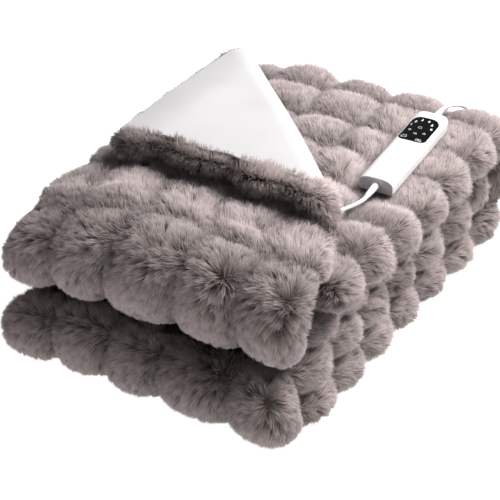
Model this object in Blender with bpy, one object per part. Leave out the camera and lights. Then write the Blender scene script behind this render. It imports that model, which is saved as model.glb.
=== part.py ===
"""Folded heated throw with one corner turned back, its hand control, lead and mains cord.

Metres, +Z up. X runs across the stack, from its left end to its right end. Y runs from the folded front to the
back. The origin is the centre of the stack's outline, on the surface that it lies on.
"""

import math

import bmesh
import bpy
from mathutils import Euler, Matrix, Vector, noise

# ---- the throw, folded back and forth -------------------------------------------------------------------------
FOLD_WIDTH = 0.380  # across the stack
RIM_SAMPLES = (0.0, 0.004, 0.017)  # columns kept near each side, measured in from it
INNER_COLUMNS = 16  # spaces between the columns that lie further in
PUFF = 0.078  # pitch of the puffs in the pile
PUFF_HEIGHT = 0.015  # of a puff above the creases round it
PUFF_SQUARE = 2.6  # how square the puffs are
PUFF_UNLIKE = 0.28  # how much their heights differ
CREASE_WANDER = 0.22  # how far the creases wander, in puffs
GAP = 0.003  # between neighbouring layers
SCALLOP = 0.016  # how far the puffs move a side in and out

# layer: lowest point, thickness down to the creases, shift along X, change of width
LAYERS = {
    "bottom": (0.000, 0.041, -0.012, 0.006),
    "second": (0.044, 0.041, -0.008, -0.014),
    "third": (0.088, 0.042, -0.009, -0.018),
    "fourth": (0.133, 0.042, 0.002, 0.012),
    "top": (0.178, 0.028, 0.000, 0.000),
}

FRONT_UPPER = -0.202  # Y of the bend between the third layer and the top one
FRONT_LOWER = -0.230  # Y of the bend between the bottom layer and the second one
BACK_OUTER = 0.192  # Y of the bend round the back, between the fourth layer and the bottom one
BACK_INNER = 0.190  # Y of the bend inside it, between the second layer and the third one
INNER_END = -0.187  # Y where the strip starts, inside the upper bend
TOP_END = 0.186  # Y where it ends, on top of the stack
CORNER_ROUND = 0.030  # of the top layer's corners

# The strip from its inner end: layer, Y at the start of its run, Y at the end, puffs along it, rows for each
RUNS = (
    ("fourth", INNER_END, BACK_OUTER, 6, 4),
    ("bottom", BACK_OUTER, FRONT_LOWER, 6, 3),
    ("second", FRONT_LOWER, BACK_INNER, 6, 3),
    ("third", BACK_INNER, FRONT_UPPER, 6, 3),
    ("top", FRONT_UPPER, TOP_END, 5, 5),
)
TOP_RUN = len(RUNS) - 1
BEND_PUFFS = (3, 1, 1, 1)  # puffs round the bend after each run but the last
BEND_ROWS = (10, 6, 4, 9)

# ---- the turned corner ----------------------------------------------------------------------------------------
TURN_SUM = 0.000  # the corner turns along the line x + y = TURN_SUM
FLAP_THICK = 0.022
CUSHION = 0.10  # share of a puff's height left where the pile is pressed
LEFT_PULL = 0.040  # how far the top layer's left side is drawn in by its end
RIGHT_PULL = 0.038  # and its right side, over the first of its length
RIGHT_PULL_OVER = 0.050
PAST_TURN = (0.020, 0.045)  # the fourth layer's pile is pressed this far past the turn, and rises over the rest
UNDER_FLAP = (0.012, 0.034)  # the top layer's own pile, before the flap and under its edge
END_TUFT = 0.018  # how far the right end of the turn swells out
END_TUFT_AT = Vector((0.176, -0.136))
END_TUFT_REACH = 0.055
TURN_STEPS = 4  # facets round the turn
TURN_RADIUS = (LAYERS["top"][1] / 2 + FLAP_THICK / 2) / 2 + GAP
LINING_GAP = 0.0013
LINING_STEPS = 9  # facets of the lining round the turn
LINING_THICK = 0.0015
LINING_ACROSS = 14  # facets of the lining along the turn
LINING_FLAT = 8  # and from the turn to the tip
LINING_TIP = 0.004  # of the tip that is left off
LINING_FRONT_INSET = (0.028, 0.016)  # from the flap's front edge, at the turn and at the tip
LINING_SIDE_INSET = 0.012

# ---- unevenness -----------------------------------------------------------------------------------------------
SWAY = 0.006
SWAY_SIZE = 0.24
SWAY_STARTS = ((4.1, 1.3, 2.2), (7.7, 3.1, 5.9), (1.9, 8.3, 6.4))  # one for each direction
DROOP = 0.010  # of the front left corner

SHOULDER = 0.022  # how far the upper layers sink along their left side
CENTRE = (-0.0034, 0.0044)  # middle of the uneven outline, which becomes the origin

# ---- the hand control, in its own frame: X across, Y towards the mains cord, Z up from its base ---------------
HANDSET = (0.042, 0.168, 0.020)  # width, length, thickness
HANDSET_AT = Vector((0.1306, 0.0864, 0.1761))
HANDSET_TILT = Euler((math.radians(0.8), math.radians(0.5), math.radians(3.9)))
HANDSET_CORNER = 0.009
HANDSET_END_BULGE = 0.003  # of the end that the lead comes out of
HANDSET_END_STEPS = 8
CORNER_STEPS = 6  # facets of a round corner in plan
HANDSET_LEVELS = ((0.0, 0.005), (0.0015, 0.002), (0.004, 0.0005), (0.008, 0.0), (0.013, 0.0005), (0.017, 0.002))
HANDSET_TOP_INSET = 0.0035
PANEL = (0.034, 0.057)
PANEL_FROM_END = 0.018
PANEL_CORNER = 0.010
PANEL_DEPTH = 0.0015
DENT_CLEAR = 0.014  # how far round the hand control the pile is fully pressed
DENT_MARGIN = 0.030  # and how far past that it rises

# ---- cords ----------------------------------------------------------------------------------------------------
CORD = 0.005
GUARD_LENGTH = 0.024
GUARD_WIDE = 0.0095
GUARD_NARROW = 0.0065
GUARD_HEIGHT = 0.0095  # of its axis above the base of the hand control
POINT_SPACING = 0.012  # between the points read from a cord's smooth curve

# The lead runs from its guard down under the turned corner
LEAD_ROUTE = (
    (0.1383, -0.0222, 0.1842),
    (0.1384, -0.0290, 0.1840),
    (0.1368, -0.0370, 0.1834),
    (0.1335, -0.0450, 0.1826),
    (0.1294, -0.0530, 0.1818),
    (0.1245, -0.0615, 0.1812),
    (0.1195, -0.0700, 0.1808),
)

# The mains cord runs from its guard over the back of the stack, down to the surface and up to its coil
MAINS_ROUTE = (
    (0.1230, 0.1951, 0.1875),
    (0.1235, 0.2040, 0.1870),
    (0.1255, 0.2165, 0.1845),
    (0.1280, 0.2305, 0.1790),
    (0.1305, 0.2460, 0.1698),
    (0.1327, 0.2600, 0.1565),
    (0.1347, 0.2712, 0.1395),
    (0.1365, 0.2822, 0.1185),
    (0.1375, 0.2892, 0.0950),
    (0.1375, 0.2917, 0.0700),
    (0.1365, 0.2927, 0.0450),
    (0.1345, 0.2962, 0.0240),
    (0.1305, 0.3045, 0.0095),
    (0.1245, 0.3165, 0.0034),
    (0.1170, 0.3290, 0.0029),
    (0.1060, 0.3385, 0.0028),
    (0.0920, 0.3435, 0.0028),
    (0.0770, 0.3447, 0.0028),
    (0.0625, 0.3447, 0.0028),
)

COIL_AT = (0.045, 0.378)
COIL_RADIUS = 0.0275  # at the middle of its turns
COIL_ACROSS = 3  # turns side by side
COIL_HIGH = 3  # turns on each other
COIL_CHAMFER = 0.0012
COIL_STEPS = 40  # facets round it

# The tail leaves the coil for the plug
TAIL_ROUTE = (
    (0.0275, 0.3447, 0.0118),
    (0.0180, 0.3450, 0.0106),
    (0.0080, 0.3460, 0.0092),
    (-0.0010, 0.3470, 0.0079),
    (-0.0097, 0.3475, 0.0070),
)

# ---- the plug, along -X from its guard ------------------------------------------------------------------------
PLUG_AT = (-0.0103, 0.3475, 0.0070)  # middle of the guard's narrow end
# distance from the guard's narrow end, half width, half height
PLUG_LEVELS = (
    (0.0000, 0.0033, 0.0033),
    (0.0220, 0.0048, 0.0048),
    (0.0235, 0.0090, 0.0056),
    (0.0300, 0.0120, 0.0062),
    (0.0400, 0.0150, 0.0066),
    (0.0500, 0.0172, 0.00685),
    (0.0565, 0.01765, 0.00685),
    (0.0580, 0.0168, 0.0060),
)
PIN_RADIUS = 0.002
PIN_LENGTH = 0.019
PIN_PITCH = 0.0186

ROUND_SEGMENTS = 20  # facets round the guards and the plug
SEAT = 0.0003  # gap between pieces that touch
MERGE = 0.0001  # the pile and the back meet along every edge of the strip


def clamp(value, low=0.0, high=1.0):
    return max(low, min(high, value))


def ease(value):
    """0 to 1 with a soft start and end."""
    t = clamp(value)
    return t * t * (3 - 2 * t)


def middle(layer):
    low, thick, _, _ = LAYERS[layer]
    return low + thick / 2


def rows_of_strip():
    """Rows along the strip as (kind, number of the run, share of the way, puffs so far)."""
    rows, puffs = [], 0
    for i, (_, _, _, count, per_puff) in enumerate(RUNS):
        steps = count * per_puff
        rows += [("run", i, k / steps, puffs + count * k / steps) for k in range(steps)]
        puffs += count
        if i < len(BEND_PUFFS):
            steps = BEND_ROWS[i]
            rows += [("bend", i, k / steps, puffs + BEND_PUFFS[i] * k / steps) for k in range(steps)]
            puffs += BEND_PUFFS[i]
    rim = [1 - r / (TOP_END - FRONT_UPPER) for r in RIM_SAMPLES[:0:-1]]
    clear_of_rim = rim[0] - 0.02
    rows = [row for row in rows if row[:2] != ("run", TOP_RUN) or row[2] < clear_of_rim]
    return rows + [("run", TOP_RUN, share, puffs - count * (1 - share)) for share in rim + [1.0]]


def columns_of_strip():
    """X of the columns, closer together near the two sides."""
    half = FOLD_WIDTH / 2
    inner = half - RIM_SAMPLES[-1]
    side = [half - r for r in RIM_SAMPLES[:-1]]
    between = [inner * (2 * k / INNER_COLUMNS - 1) for k in range(INNER_COLUMNS + 1)]
    return [-x for x in side] + between + side[::-1]


def beside_handset(x, y):
    """Distance in plan from a point to the hand control's outline."""
    offset = Vector((x - CENTRE[0] - HANDSET_AT.x, y - CENTRE[1] - HANDSET_AT.y))
    local = Matrix.Rotation(-HANDSET_TILT.z, 2) @ offset
    return math.hypot(max(abs(local.x) - HANDSET[0] / 2, 0), max(abs(local.y) - HANDSET[1] / 2, 0))


def fullness(kind, run, share, x, y):
    """How far the puffs stand up, from 0 where the pile is pressed to 1 where it is free."""
    name = RUNS[run][0]
    pressed, rising = PAST_TURN
    past_turn = ease((x + y - TURN_SUM - pressed) / rising)
    if kind == "run" and name == "fourth":
        dent = ease((beside_handset(x, y) - DENT_CLEAR) / DENT_MARGIN)
        return past_turn * (CUSHION + (1 - CUSHION) * dent)
    if kind == "run" and name == "top":
        if drawn_in(x, y) + y > TURN_SUM:
            return CUSHION
        before, over = UNDER_FLAP
        covered = ease((y - TURN_SUM + FOLD_WIDTH / 2 + before) / over)
        return 1 - (1 - CUSHION) * covered
    if kind == "run":
        return 0.0
    if run == 0:
        return past_turn * ease((1 - share) / 0.18)
    if run == 1:
        return ease(share / 0.35) * ease((1 - share) / 0.30)
    if run == 3:
        return ease(share / 0.30)
    return 0.0


def puff_shape(across, along):
    """0 in the creases and about 1 on top of a puff. Both arguments count puffs."""
    bend = noise.noise(Vector((across * 0.7, along * 0.7, 3.1))) * CREASE_WANDER
    lean = noise.noise(Vector((across * 0.7, along * 0.7, 9.7))) * CREASE_WANDER
    a = abs(2 * ((across + bend) % 1.0) - 1)
    b = abs(2 * ((along + lean) % 1.0) - 1)
    cell = Vector((math.floor(across + bend) * 5.3, math.floor(along + lean) * 3.7, 1.9))
    height = 1 - PUFF_UNLIKE / 2 + PUFF_UNLIKE * noise.noise(cell)
    return height * (1 - a**PUFF_SQUARE) * (1 - b**PUFF_SQUARE)


def side_pulls(y):
    """How far the top layer's left side and its right side are drawn in at this Y."""
    left = LEFT_PULL * (y - FRONT_UPPER) / (TOP_END - FRONT_UPPER)
    return left, RIGHT_PULL * ease((y - FRONT_UPPER) / RIGHT_PULL_OVER)


def drawn_in(x, y):
    """X on the top layer once its two sides are drawn in."""
    left, right = side_pulls(y)
    return x + left * (0.5 - x / FOLD_WIDTH) - right * (0.5 + x / FOLD_WIDTH)


def undrawn_x(drawn, y):
    """The column that drawn_in moves to this X."""
    left, right = side_pulls(y)
    return (drawn - 0.5 * (left - right)) / (1 - (left + right) / FOLD_WIDTH)


def y_on_line(x, reach):
    """Y on this column where drawn_in(x, y) + y = reach, past the stretch in which the right side is drawn in."""
    pull = LEFT_PULL / (TOP_END - FRONT_UPPER) * (0.5 - x / FOLD_WIDTH)
    narrowed = RIGHT_PULL * (0.5 + x / FOLD_WIDTH)
    return (reach - x + pull * FRONT_UPPER + narrowed) / (1 + pull)


def turn_corner(flat):
    """Turns what lies past the diagonal of the top layer up and over, pile against pile.

    Returns the point, the pile's direction there, the direction in which the columns' X grows, and how far
    round the turn it is, from 0 to 1.
    """
    across = Vector((1, 1, 0)).normalized()
    along = Vector((1, -1, 0)).normalized()
    beyond = max((flat.x + flat.y - TURN_SUM) / math.sqrt(2), 0.0)
    angle = min(beyond / TURN_RADIUS, math.pi)
    past = max(beyond - math.pi * TURN_RADIUS, 0.0)
    reach = TURN_RADIUS * math.sin(angle) - past
    rise = TURN_RADIUS * (1 - math.cos(angle))
    ahead = across * math.cos(angle) + Vector((0, 0, math.sin(angle)))
    fur = Vector((0, 0, math.cos(angle))) - across * math.sin(angle)
    point = flat + across * (reach - beyond) + Vector((0, 0, rise))
    return point, fur, (ahead + along) / math.sqrt(2), angle / math.pi


def round_tip(x, y):
    """The top layer's flat outline with the corner that is turned over rounded."""
    in_x = CORNER_ROUND - (FOLD_WIDTH / 2 - x)
    in_y = CORNER_ROUND - (TOP_END - y)
    if in_x > 0 and in_y > 0:
        scale = max(in_x, in_y) / math.hypot(in_x, in_y)
        x -= in_x * (1 - scale)
        y -= in_y * (1 - scale)
    return drawn_in(x, y), y


def end_tuft(point):
    """The swelling at the right end of the turn, less on its underside."""
    near = ease(1 - (point.xy - END_TUFT_AT).length / END_TUFT_REACH)
    high = ease((point.z - LAYERS["top"][0]) / LAYERS["top"][1])
    return point + Vector((1, 1, 0)).normalized() * END_TUFT * near * high


def sway(point):
    """A soft unevenness that moves neighbouring layers alike and leaves the base flat, with the origin centred."""
    push = Vector([noise.noise(point / SWAY_SIZE + Vector(start)) for start in SWAY_STARTS]) * SWAY
    droop = DROOP * ease(-(point.x + 0.08) / 0.13) * ease(-(point.y + 0.10) / 0.18)
    droop += SHOULDER * ease((-0.08 - point.x) / 0.12) * ease((point.z - 0.10) / 0.10)
    lift = ease(point.z / 0.09)
    height = max(point.z + (push.z - droop) * lift, 0.0)
    return Vector((point.x + push.x - CENTRE[0], point.y + push.y - CENTRE[1], height))


def on_run(row, x, side, extra):
    """A point on a straight run of the strip, before the sway."""
    _, run, share, puffs = row
    name, start, end = RUNS[run][:3]
    y = start + (end - start) * share
    half = LAYERS[name][1] / 2
    point = Vector((x, y, middle(name)))
    fur = Vector((0, 0, 1 if end > start else -1))
    sideways = Vector((1, 0, 0))
    free_end = FOLD_WIDTH
    flatness = 1.0
    if name == "fourth":
        free_end = y - start
    if name == "top":
        free_end = end - y
        flat_x, flat_y = round_tip(x, y)
        point, fur, sideways, turned = turn_corner(Vector((flat_x, flat_y, middle(name))))
        half += (FLAP_THICK / 2 - half) * turned
        flatness -= 0.5 * turned
    near = clamp(min(FOLD_WIDTH / 2 - abs(x), free_end) / half)
    height = half + extra
    if side > 0:
        height += PUFF_HEIGHT * fullness("run", run, share, x, y) * puff_shape(x / PUFF + 0.5, puffs)
    height *= side * math.sqrt(1 - (1 - near) ** 2)
    point += fur * height + sideways * side_wave(x, puffs, name) * flatness
    return end_tuft(point) if name == "top" else point


def on_bend(row, x, side, extra):
    """A point on a bend of the strip, before the sway."""
    _, run, share, puffs = row
    name, start, end = RUNS[run][:3]
    after = RUNS[run + 1][0]
    heading = 1 if end > start else -1
    half = (LAYERS[name][1] * (1 - share) + LAYERS[after][1] * share) / 2
    centre = (middle(name) + middle(after)) / 2
    radius = abs(middle(name) - middle(after)) / 2
    above = 1 if middle(name) > centre else -1
    angle = math.pi * share
    outward = Vector((0, heading * math.sin(angle), above * math.cos(angle)))
    near = clamp((FOLD_WIDTH / 2 - abs(x)) / half)
    height = half + extra
    if side > 0:
        height += PUFF_HEIGHT * fullness("bend", run, share, x, end) * puff_shape(x / PUFF + 0.5, puffs)
    height *= side * above * heading * math.sqrt(1 - (1 - near) ** 2)
    wave = side_wave(x, puffs, name) * (1 - share) + side_wave(x, puffs, after) * share
    return Vector((x + wave, end, centre)) + outward * (radius + height)


def side_wave(x, puffs, name):
    """How far a column moves along X, so that the puffs scallop the two sides."""
    _, _, shift, wider = LAYERS[name]
    outward = math.copysign(ease((abs(x) - FOLD_WIDTH / 2 + 0.05) / 0.05), x)
    return outward * (SCALLOP * (abs(math.sin(math.pi * puffs)) - 0.6) + wider / 2) + shift


def sheet_point(row, x, side, extra=0.0):
    """A point of the strip. side is 1 on the pile and -1 on the back. extra stands off it."""
    place = on_run if row[0] == "run" else on_bend
    return sway(place(row, x, side, extra))


def row_at(rows, number):
    """The row at a number that may lie between two rows."""
    low = min(int(number), len(rows) - 2)
    t = number - low
    kind, run, share, puffs = rows[low]
    if t < 1e-6:
        return rows[low]
    after = rows[low + 1]
    last = after[2] if after[:2] == (kind, run) else 1.0
    return kind, run, share + (last - share) * t, puffs + (after[3] - puffs) * t


def row_of_y(name, y):
    """The row of a layer at a Y of its run."""
    puffs = 0
    for i, (layer, start, end, count, _) in enumerate(RUNS):
        share = (y - start) / (end - start)
        if layer == name:
            return "run", i, share, puffs + count * share
        puffs += count + BEND_PUFFS[i]
    return None


def grid_sides(bm, rows, columns):
    """A grid for the pile and one for the back, in flat coordinates: column's X, row's number, side."""
    for side in (1, -1):
        made = bmesh.ops.create_grid(bm, x_segments=len(columns) - 1, y_segments=len(rows) - 1, size=1.0)
        for vert in made["verts"]:
            column = round((vert.co.x + 1) / 2 * (len(columns) - 1))
            number = round((vert.co.y + 1) / 2 * (len(rows) - 1))
            vert.co = (columns[column], number, side)
        if side < 0:
            faces = list({face for vert in made["verts"] for face in vert.link_faces})
            bmesh.ops.reverse_faces(bm, faces=faces)


def cut_along_turn(bm, rows):
    """Adds edges along the turn of the top layer, in flat coordinates where Y is the row's number."""
    first = next(i for i, row in enumerate(rows) if row[:2] == ("run", TOP_RUN))
    for i in range(first, len(rows) - 1):
        y, next_y = (row_y(row) for row in rows[i : i + 2])
        for k in range(TURN_STEPS + 1):
            reach = TURN_SUM + math.pi * TURN_RADIUS * k / TURN_STEPS * math.sqrt(2)
            here, there = undrawn_x(reach - y, y), undrawn_x(reach - next_y, next_y)
            faces = [f for f in bm.faces if i < f.calc_center_median().y < i + 1]
            geometry = list({e for f in faces for e in f.edges}) + list({v for f in faces for v in f.verts}) + faces
            normal = Vector((1, here - there, 0)).normalized()
            bmesh.ops.bisect_plane(bm, geom=geometry, dist=1e-6, plane_co=(here, i, 0), plane_no=normal)


def row_y(row):
    _, start, end, _, _ = RUNS[row[1]]
    return start + (end - start) * row[2]


def material(name, colour, roughness, metallic=0.0):
    made = bpy.data.materials.new(name)
    made.use_nodes = True
    shader = made.node_tree.nodes["Principled BSDF"]
    shader.inputs["Base Color"].default_value = (*colour, 1)
    shader.inputs["Roughness"].default_value = roughness
    shader.inputs["Metallic"].default_value = metallic
    return made


def add_object(name, bm, finish):
    mesh = bpy.data.meshes.new(name)
    bm.to_mesh(mesh)
    bm.free()
    mesh.shade_smooth()
    made = bpy.data.objects.new(name, mesh)
    made.data.materials.append(finish)
    bpy.context.scene.collection.objects.link(made)
    return made


def build_throw(finish):
    rows, columns = rows_of_strip(), columns_of_strip()
    bm = bmesh.new()
    grid_sides(bm, rows, columns)
    cut_along_turn(bm, rows)
    for vert in bm.verts:
        x, number, side = vert.co
        vert.co = sheet_point(row_at(rows, number), x, side)
    bmesh.ops.remove_doubles(bm, verts=bm.verts, dist=MERGE)
    bmesh.ops.triangulate(bm, faces=bm.faces)
    return add_object("throw", bm, finish)


def lining_column(y):
    """X, in flat coordinates, where the lining ends along the flap's front edge."""
    at_turn, at_tip = LINING_FRONT_INSET
    share = clamp((y - TURN_SUM + FOLD_WIDTH / 2) / (TOP_END - TURN_SUM + FOLD_WIDTH / 2))
    return FOLD_WIDTH / 2 - at_turn - (at_tip - at_turn) * share


def lining_line(beyond, steps):
    """Points of the lining along a line this far past the turn, as flat coordinates."""
    reach = TURN_SUM + beyond * math.sqrt(2)
    left_column = LINING_SIDE_INSET - FOLD_WIDTH / 2
    far_y = min(TOP_END - LINING_SIDE_INSET, y_on_line(left_column, reach))
    near_y = reach - FOLD_WIDTH / 2
    for _ in range(20):
        near_y = y_on_line(lining_column(near_y), reach)
    ys = [near_y + (far_y - near_y) * k / steps for k in range(steps + 1)]
    return [(undrawn_x(reach - y, y), y) for y in ys]


def build_lining(finish):
    """The turned corner's smooth side: a sheet that follows the top layer's back round the turn and over it."""
    turn = [math.pi * TURN_RADIUS * k / LINING_STEPS for k in range(LINING_STEPS + 1)]
    far_y = TOP_END - LINING_SIDE_INSET
    corner = (drawn_in(lining_column(far_y), far_y) + far_y - TURN_SUM) / math.sqrt(2) - LINING_TIP
    flat = [turn[-1] + (corner - turn[-1]) * k / LINING_FLAT for k in range(1, LINING_FLAT + 1)]
    bm = bmesh.new()
    skins = []
    for extra in (LINING_GAP, LINING_GAP + LINING_THICK):
        skin = []
        for beyond in turn + flat:
            line = lining_line(beyond, LINING_ACROSS)
            skin.append([bm.verts.new(sheet_point(row_of_y("top", y), x, -1, extra)) for x, y in line])
        skins.append(skin)
    inner, outer = skins
    for a, b in zip(range(len(inner)), range(1, len(inner))):
        for k in range(LINING_ACROSS):
            bm.faces.new((inner[a][k], inner[a][k + 1], inner[b][k + 1], inner[b][k]))
            bm.faces.new((outer[a][k], outer[b][k], outer[b][k + 1], outer[a][k + 1]))
    inner_rim = inner[0] + [ring[-1] for ring in inner[1:]] + inner[-1][-2::-1] + [ring[0] for ring in inner[-2:0:-1]]
    outer_rim = outer[0] + [ring[-1] for ring in outer[1:]] + outer[-1][-2::-1] + [ring[0] for ring in outer[-2:0:-1]]
    for k in range(len(inner_rim)):
        after = (k + 1) % len(inner_rim)
        bm.faces.new((inner_rim[k], outer_rim[k], outer_rim[after], inner_rim[after]))
    bmesh.ops.recalc_face_normals(bm, faces=bm.faces)
    bmesh.ops.triangulate(bm, faces=bm.faces)
    return add_object("lining", bm, finish)


def handset_outline(inset):
    """Plan outline of the hand control: two round corners at its far end and a bulged near end."""
    half_w, half_l = HANDSET[0] / 2 - inset, HANDSET[1] / 2 - inset
    points = []
    for k in range(HANDSET_END_STEPS + 1):
        t = 2 * k / HANDSET_END_STEPS - 1
        points.append((half_w * t, -half_l + HANDSET_END_BULGE * t * t))
    radius = HANDSET_CORNER
    for centre_x, start in ((half_w - radius, 0), (-half_w + radius, 90)):
        for k in range(CORNER_STEPS + 1):
            angle = math.radians(start + 90 * k / CORNER_STEPS)
            points.append((centre_x + radius * math.cos(angle), half_l - radius + radius * math.sin(angle)))
    return points


def rounded_rectangle(width, length, radius, centre_y):
    points = []
    for k in range(4):
        corner_x = (width / 2 - radius) * (1 if k in (0, 3) else -1)
        corner_y = (length / 2 - radius) * (1 if k < 2 else -1) + centre_y
        for step in range(CORNER_STEPS + 1):
            angle = math.radians(90 * (k + step / CORNER_STEPS))
            points.append((corner_x + radius * math.cos(angle), corner_y + radius * math.sin(angle)))
    return points


def loft(bm, rings):
    """Closed solid through rings of the same number of points."""
    loops = [[bm.verts.new(point) for point in ring] for ring in rings]
    for low, high in zip(loops, loops[1:]):
        for k in range(len(low)):
            after = (k + 1) % len(low)
            bm.faces.new((low[k], low[after], high[after], high[k]))
    bm.faces.new(loops[0][::-1])
    bm.faces.new(loops[-1])
    bmesh.ops.recalc_face_normals(bm, faces=bm.faces)


def seat_on_handset(piece):
    piece.location = HANDSET_AT
    piece.rotation_euler = HANDSET_TILT


def build_handset(shell, glass):
    levels = HANDSET_LEVELS + ((HANDSET[2], HANDSET_TOP_INSET),)
    bm = bmesh.new()
    loft(bm, [[(x, y, z) for x, y in handset_outline(inset)] for z, inset in levels])
    body = add_object("handset", bm, shell)
    panel_y = HANDSET[1] / 2 - PANEL_FROM_END - PANEL[1] / 2
    seat = HANDSET[2] - PANEL_DEPTH
    bm = bmesh.new()
    outline = rounded_rectangle(PANEL[0] + 2 * SEAT, PANEL[1] + 2 * SEAT, PANEL_CORNER + SEAT, panel_y)
    loft(bm, [[(x, y, z) for x, y in outline] for z in (seat - SEAT, HANDSET[2] + 0.005)])
    recess = add_object("panel_recess", bm, glass)
    recess.hide_render = True
    recess.display_type = "WIRE"
    cut = body.modifiers.new("recess", "BOOLEAN")
    cut.object = recess
    cut.operation = "DIFFERENCE"
    bm = bmesh.new()
    outline = rounded_rectangle(*PANEL, PANEL_CORNER, panel_y)
    loft(bm, [[(x, y, z) for x, y in outline] for z in (seat, HANDSET[2])])
    panel = add_object("display", bm, glass)
    for piece in (body, recess, panel):
        seat_on_handset(piece)


def build_guard(name, end, finish):
    """Tapered cord guard on an end of the hand control: end is 1 at the mains cord and -1 at the lead."""
    bm = bmesh.new()
    bmesh.ops.create_cone(
        bm,
        cap_ends=True,
        segments=ROUND_SEGMENTS,
        radius1=GUARD_WIDE / 2,
        radius2=GUARD_NARROW / 2,
        depth=GUARD_LENGTH,
    )
    bmesh.ops.rotate(bm, verts=bm.verts, matrix=Matrix.Rotation(-math.pi / 2 * end, 3, "X"))
    middle_y = end * (HANDSET[1] / 2 + SEAT + GUARD_LENGTH / 2)
    bmesh.ops.translate(bm, verts=bm.verts, vec=(0, middle_y, GUARD_HEIGHT))
    seat_on_handset(add_object(name, bm, finish))


def smooth_curve(route, spacing):
    """Points read at about this spacing from a smooth curve through the route's points."""
    ends = [Vector(route[0]) * 2 - Vector(route[1])] + [Vector(p) for p in route]
    ends.append(ends[-1] * 2 - ends[-2])
    points = []
    for a, b, c, d in zip(ends, ends[1:], ends[2:], ends[3:]):
        steps = max(1, round((c - b).length / spacing))
        for k in range(steps):
            t = k / steps
            points.append(
                ((2 * b) + (c - a) * t + (2 * a - 5 * b + 4 * c - d) * t**2 + (3 * b - a - 3 * c + d) * t**3) / 2
            )
    return points + [ends[-2]]


def build_cord(name, route, finish):
    points = smooth_curve(route, POINT_SPACING)
    curve = bpy.data.curves.new(name, "CURVE")
    curve.dimensions = "3D"
    curve.bevel_depth = CORD / 2
    curve.bevel_resolution = 2
    curve.use_fill_caps = True
    spline = curve.splines.new("POLY")
    spline.points.add(len(points) - 1)
    for target, point in zip(spline.points, points):
        target.co = (*point, 1)
    curve.materials.append(finish)
    bpy.context.scene.collection.objects.link(bpy.data.objects.new(name, curve))


def build_coil(finish):
    """The turned outer shape of the wound part of the mains cord."""
    inner = COIL_RADIUS - COIL_ACROSS * CORD / 2
    outer = COIL_RADIUS + COIL_ACROSS * CORD / 2
    top = COIL_HIGH * CORD
    cut = COIL_CHAMFER
    profile = (
        (inner, cut), (inner + cut, 0), (outer - cut, 0), (outer, cut),
        (outer, top - cut), (outer - cut, top), (inner + cut, top), (inner, top - cut),
    )
    bm = bmesh.new()
    verts = [bm.verts.new((COIL_AT[0] + r, COIL_AT[1], z)) for r, z in profile]
    edges = [bm.edges.new((verts[k], verts[(k + 1) % len(verts)])) for k in range(len(verts))]
    spun = {"geom": verts + edges, "cent": (*COIL_AT, 0), "axis": (0, 0, 1), "angle": math.tau, "steps": COIL_STEPS}
    bmesh.ops.spin(bm, use_duplicate=False, **spun)
    bmesh.ops.remove_doubles(bm, verts=bm.verts, dist=MERGE)
    bmesh.ops.recalc_face_normals(bm, faces=bm.faces)
    add_object("mains_coil", bm, finish)


def oval(x, half_width, half_height):
    """A rounded upright outline across the plug's axis."""
    points = []
    for k in range(ROUND_SEGMENTS):
        angle = math.tau * k / ROUND_SEGMENTS
        reach_y = math.copysign(abs(math.cos(angle)) ** 0.7, math.cos(angle)) * half_width
        reach_z = math.copysign(abs(math.sin(angle)) ** 0.7, math.sin(angle)) * half_height
        points.append((x, PLUG_AT[1] + reach_y, PLUG_AT[2] + reach_z))
    return points


def build_plug(white, steel):
    bm = bmesh.new()
    loft(bm, [oval(PLUG_AT[0] - along, half_w, half_h) for along, half_w, half_h in PLUG_LEVELS])
    add_object("plug", bm, white)
    front = PLUG_AT[0] - PLUG_LEVELS[-1][0] - SEAT
    for name, side in (("plug_pin_1", -1), ("plug_pin_2", 1)):
        bm = bmesh.new()
        bmesh.ops.create_cone(
            bm, cap_ends=True, segments=16, radius1=PIN_RADIUS, radius2=PIN_RADIUS * 0.75, depth=PIN_LENGTH
        )
        bmesh.ops.rotate(bm, verts=bm.verts, matrix=Matrix.Rotation(-math.pi / 2, 3, "Y"))
        middle = (front - PIN_LENGTH / 2, PLUG_AT[1] + side * PIN_PITCH / 2, PLUG_AT[2])
        bmesh.ops.translate(bm, verts=bm.verts, vec=middle)
        add_object(name, bm, steel)


def main():
    for old in list(bpy.data.objects):
        bpy.data.objects.remove(old)
    fur = material("grey_pile", (0.30, 0.26, 0.25), 0.9)
    satin = material("white_lining", (0.86, 0.85, 0.86), 0.6)
    white = material("white_plastic", (0.87, 0.87, 0.86), 0.25)
    black = material("black_display", (0.01, 0.01, 0.012), 0.1)
    sheath = material("white_cord", (0.84, 0.84, 0.83), 0.4)
    steel = material("pin_metal", (0.72, 0.70, 0.66), 0.3, 1.0)
    build_throw(fur)
    build_lining(satin)
    build_handset(white, black)
    build_guard("lead_guard", -1, white)
    build_guard("mains_guard", 1, white)
    build_cord("lead", LEAD_ROUTE, sheath)
    build_cord("mains_cord", MAINS_ROUTE, sheath)
    build_coil(sheath)
    build_cord("mains_tail", TAIL_ROUTE, sheath)
    build_plug(white, steel)


main()
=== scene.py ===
import math

import bmesh
import bpy
import numpy as np
from mathutils import Euler, Matrix, Vector, noise


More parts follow.
